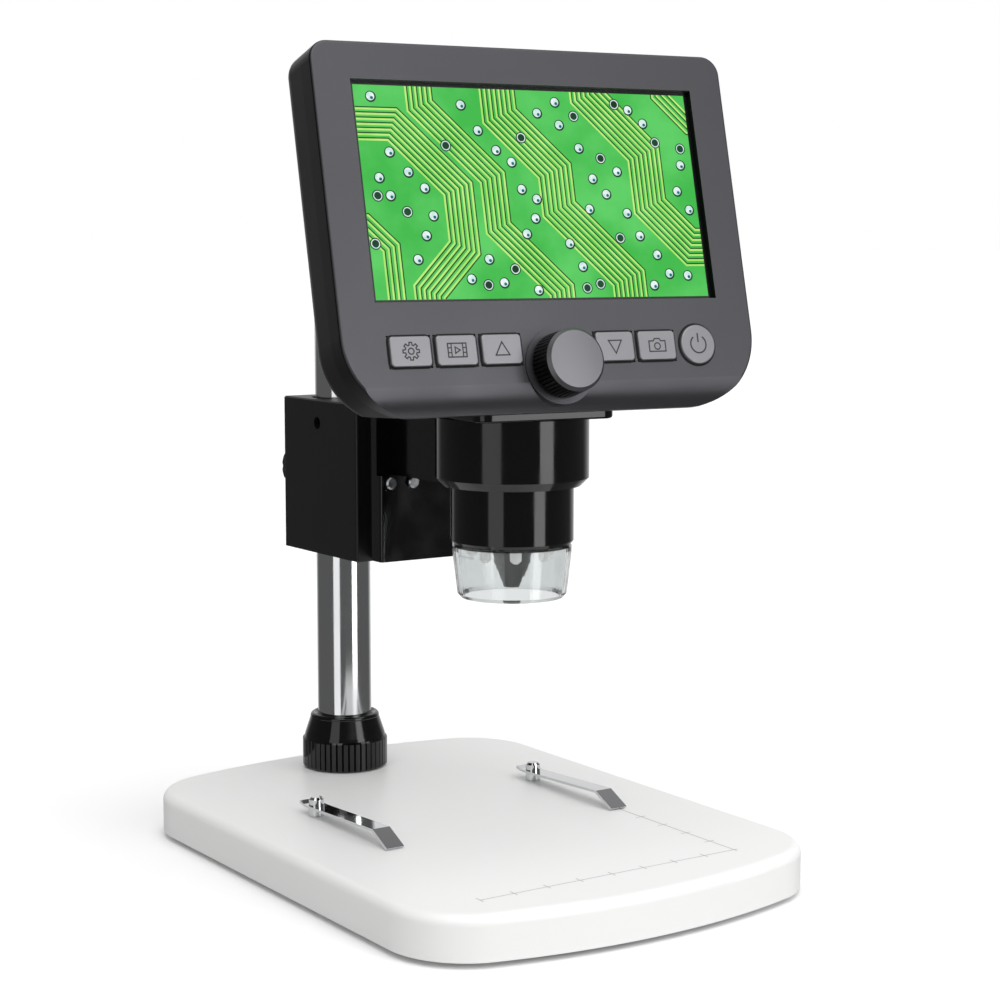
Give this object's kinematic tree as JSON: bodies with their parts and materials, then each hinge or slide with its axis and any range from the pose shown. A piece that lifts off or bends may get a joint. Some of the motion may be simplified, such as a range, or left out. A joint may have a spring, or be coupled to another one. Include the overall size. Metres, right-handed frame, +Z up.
{
  "type": "screen microscope",
  "caption": "Free-standing digital microscope: white stage with spring clips, chrome pole with a sliding clamp, ring-held lens barrel and a tilted screen head with keys and a focus knob.",
  "frame": {"origin": "on the desk under the middle of the base", "axes": "+Z up along the pole, -Y from the pole towards the user, +X to the user's right"},
  "size_m": [0.122, 0.1764, 0.2173],
  "materials": {
    "white_plastic": "satin moulded",
    "grey_plastic": "fine moulded texture",
    "ballast_steel": "zinc plated",
    "rubber": "matt",
    "screw_steel": "plated",
    "chrome": "polished",
    "clip_chrome": "polished",
    "black_gloss": "polished moulded",
    "black_matt": "fine moulded texture",
    "liner_nylon": "natural nylon",
    "clear_plastic": "clear polished acrylic",
    "board": "solder mask",
    "lamp_lens": "clear epoxy",
    "optical_glass": "coated",
    "brass": "machined",
    "head_plastic": "satin painted",
    "screen": "lit display under a clear sheet",
    "cell_wrap": "shrink wrap",
    "knob_plastic": "satin painted",
    "key_plastic": "satin painted"
  },
  "bodies": {
    "stand": {"base_shell": "white_plastic", "base_bottom_plate": "grey_plastic", "ballast_plate": "ballast_steel", "rubber_feet": "rubber", "base_screws": "screw_steel", "pole": "chrome", "pole_cap": "chrome", "pole_bolt": "screw_steel"},
    "foot_collar": {"pole_collar": "black_gloss"},
    "clip_left": {"clip_strip_left": "clip_chrome", "clip_post_left": "clip_chrome"},
    "clip_right": {"clip_strip_right": "clip_chrome", "clip_post_right": "clip_chrome"},
    "slide_liner": {"clamp_liner": "liner_nylon"},
    "clamp": {"clamp_block": "black_matt", "bracket_neck": "black_matt", "ring_bracket": "black_gloss", "bracket_screws": "screw_steel"},
    "lock_shoe": {"lock_pad": "liner_nylon"},
    "lock_screw": {"lock_stud": "screw_steel", "lock_knob": "black_matt"},
    "head": {"barrel_sleeve": "black_gloss", "flange_plate": "black_gloss", "clear_cap": "clear_plastic", "led_board": "board", "led_lamps": "lamp_lens", "front_cover": "head_plastic", "rear_shell": "head_plastic", "neck_hood": "head_plastic", "lcd_panel": "screen", "main_board": "board", "battery": "cell_wrap", "key_board": "board", "usb_port": "screw_steel", "card_socket": "screw_steel", "sensor_board": "board", "shaft_bracket": "screw_steel", "cover_screws": "screw_steel"},
    "lens_tube": {"lens_cone": "black_matt", "objective_lens": "optical_glass", "lens_carriage": "liner_nylon", "focus_rack": "liner_nylon"},
    "focus_drive": {"focus_shaft": "screw_steel", "focus_pinion": "brass", "focus_knob": "knob_plastic"},
    "dimmer": {"dimmer_wheel": "black_matt"},
    "button_menu": {"key_menu": "key_plastic"},
    "button_playback": {"key_playback": "key_plastic"},
    "button_up": {"key_up": "key_plastic"},
    "button_down": {"key_down": "key_plastic"},
    "button_snapshot": {"key_snapshot": "key_plastic"},
    "button_power": {"key_power": "key_plastic"}
  },
  "joints": [
    {"name": "collar_turn", "type": "hinge", "parent": "stand", "child": "foot_collar", "pos_m": [0, 0.0677, 0.0131], "axis": [0, 0, 1], "continuous": true},
    {"name": "clip_left_swivel", "type": "hinge", "parent": "stand", "child": "clip_left", "pos_m": [-0.036, 0.0206, 0.0128], "axis": [0, 0, 1], "range_deg": [-60, 40]},
    {"name": "clip_right_swivel", "type": "hinge", "parent": "stand", "child": "clip_right", "pos_m": [0.036, 0.0206, 0.0128], "axis": [0, 0, 1], "range_deg": [-40, 60]},
    {"name": "height_slide", "type": "slide", "parent": "stand", "child": "slide_liner", "axis": [0, 0, 1], "range_m": [-0.048, 0.038]},
    {"name": "clamp_swivel", "type": "hinge", "parent": "slide_liner", "child": "clamp", "pos_m": [0, 0.0677, 0.0785], "axis": [0, 0, 1], "continuous": true},
    {"name": "lock_feed", "type": "slide", "parent": "clamp", "child": "lock_shoe", "axis": [0, 1, 0], "range_m": [0, 0.0012]},
    {"name": "lock_turn", "type": "hinge", "parent": "lock_shoe", "child": "lock_screw", "pos_m": [0, 0.078, 0.1015], "axis": [0, 1, 0], "range_deg": [0, 530]},
    {"name": "head_turn", "type": "hinge", "parent": "clamp", "child": "head", "pos_m": [0, -0.0215, 0.1236], "axis": [0, 0, 1], "continuous": true},
    {"name": "focus_turn", "type": "hinge", "parent": "head", "child": "focus_drive", "pos_m": [-0.00269, -0.04547, 0.1374], "axis": [0.108, 0.9625, -0.2487], "range_deg": [-76, 7]},
    {"name": "focus_travel", "type": "slide", "parent": "head", "child": "lens_tube", "axis": [0, 0, 1], "range_m": [-0.0005, 0.005]},
    {"name": "dimmer_turn", "type": "hinge", "parent": "head", "child": "dimmer", "pos_m": [0.05337, -0.02564, 0.2027], "axis": [0.108, 0.9625, -0.2487], "range_deg": [-140, 140]},
    {"name": "menu_press", "type": "slide", "parent": "head", "child": "button_menu", "axis": [0.108, 0.9625, -0.2487], "range_m": [0, 0.0006], "stiffness_N_per_m": 300},
    {"name": "playback_press", "type": "slide", "parent": "head", "child": "button_playback", "axis": [0.108, 0.9625, -0.2487], "range_m": [0, 0.0006], "stiffness_N_per_m": 300},
    {"name": "up_press", "type": "slide", "parent": "head", "child": "button_up", "axis": [0.108, 0.9625, -0.2487], "range_m": [0, 0.0006], "stiffness_N_per_m": 300},
    {"name": "down_press", "type": "slide", "parent": "head", "child": "button_down", "axis": [0.108, 0.9625, -0.2487], "range_m": [0, 0.0006], "stiffness_N_per_m": 300},
    {"name": "snapshot_press", "type": "slide", "parent": "head", "child": "button_snapshot", "axis": [0.108, 0.9625, -0.2487], "range_m": [0, 0.0006], "stiffness_N_per_m": 300},
    {"name": "power_press", "type": "slide", "parent": "head", "child": "button_power", "axis": [0.108, 0.9625, -0.2487], "range_m": [0, 0.0006], "stiffness_N_per_m": 300}
  ],
  "couplings": [
    {"joint": "focus_travel", "follows": "focus_turn", "m_per_rad": -0.0037168},
    {"joint": "lock_feed", "follows": "lock_turn", "m_per_rad": 0.00012732}
  ]
}
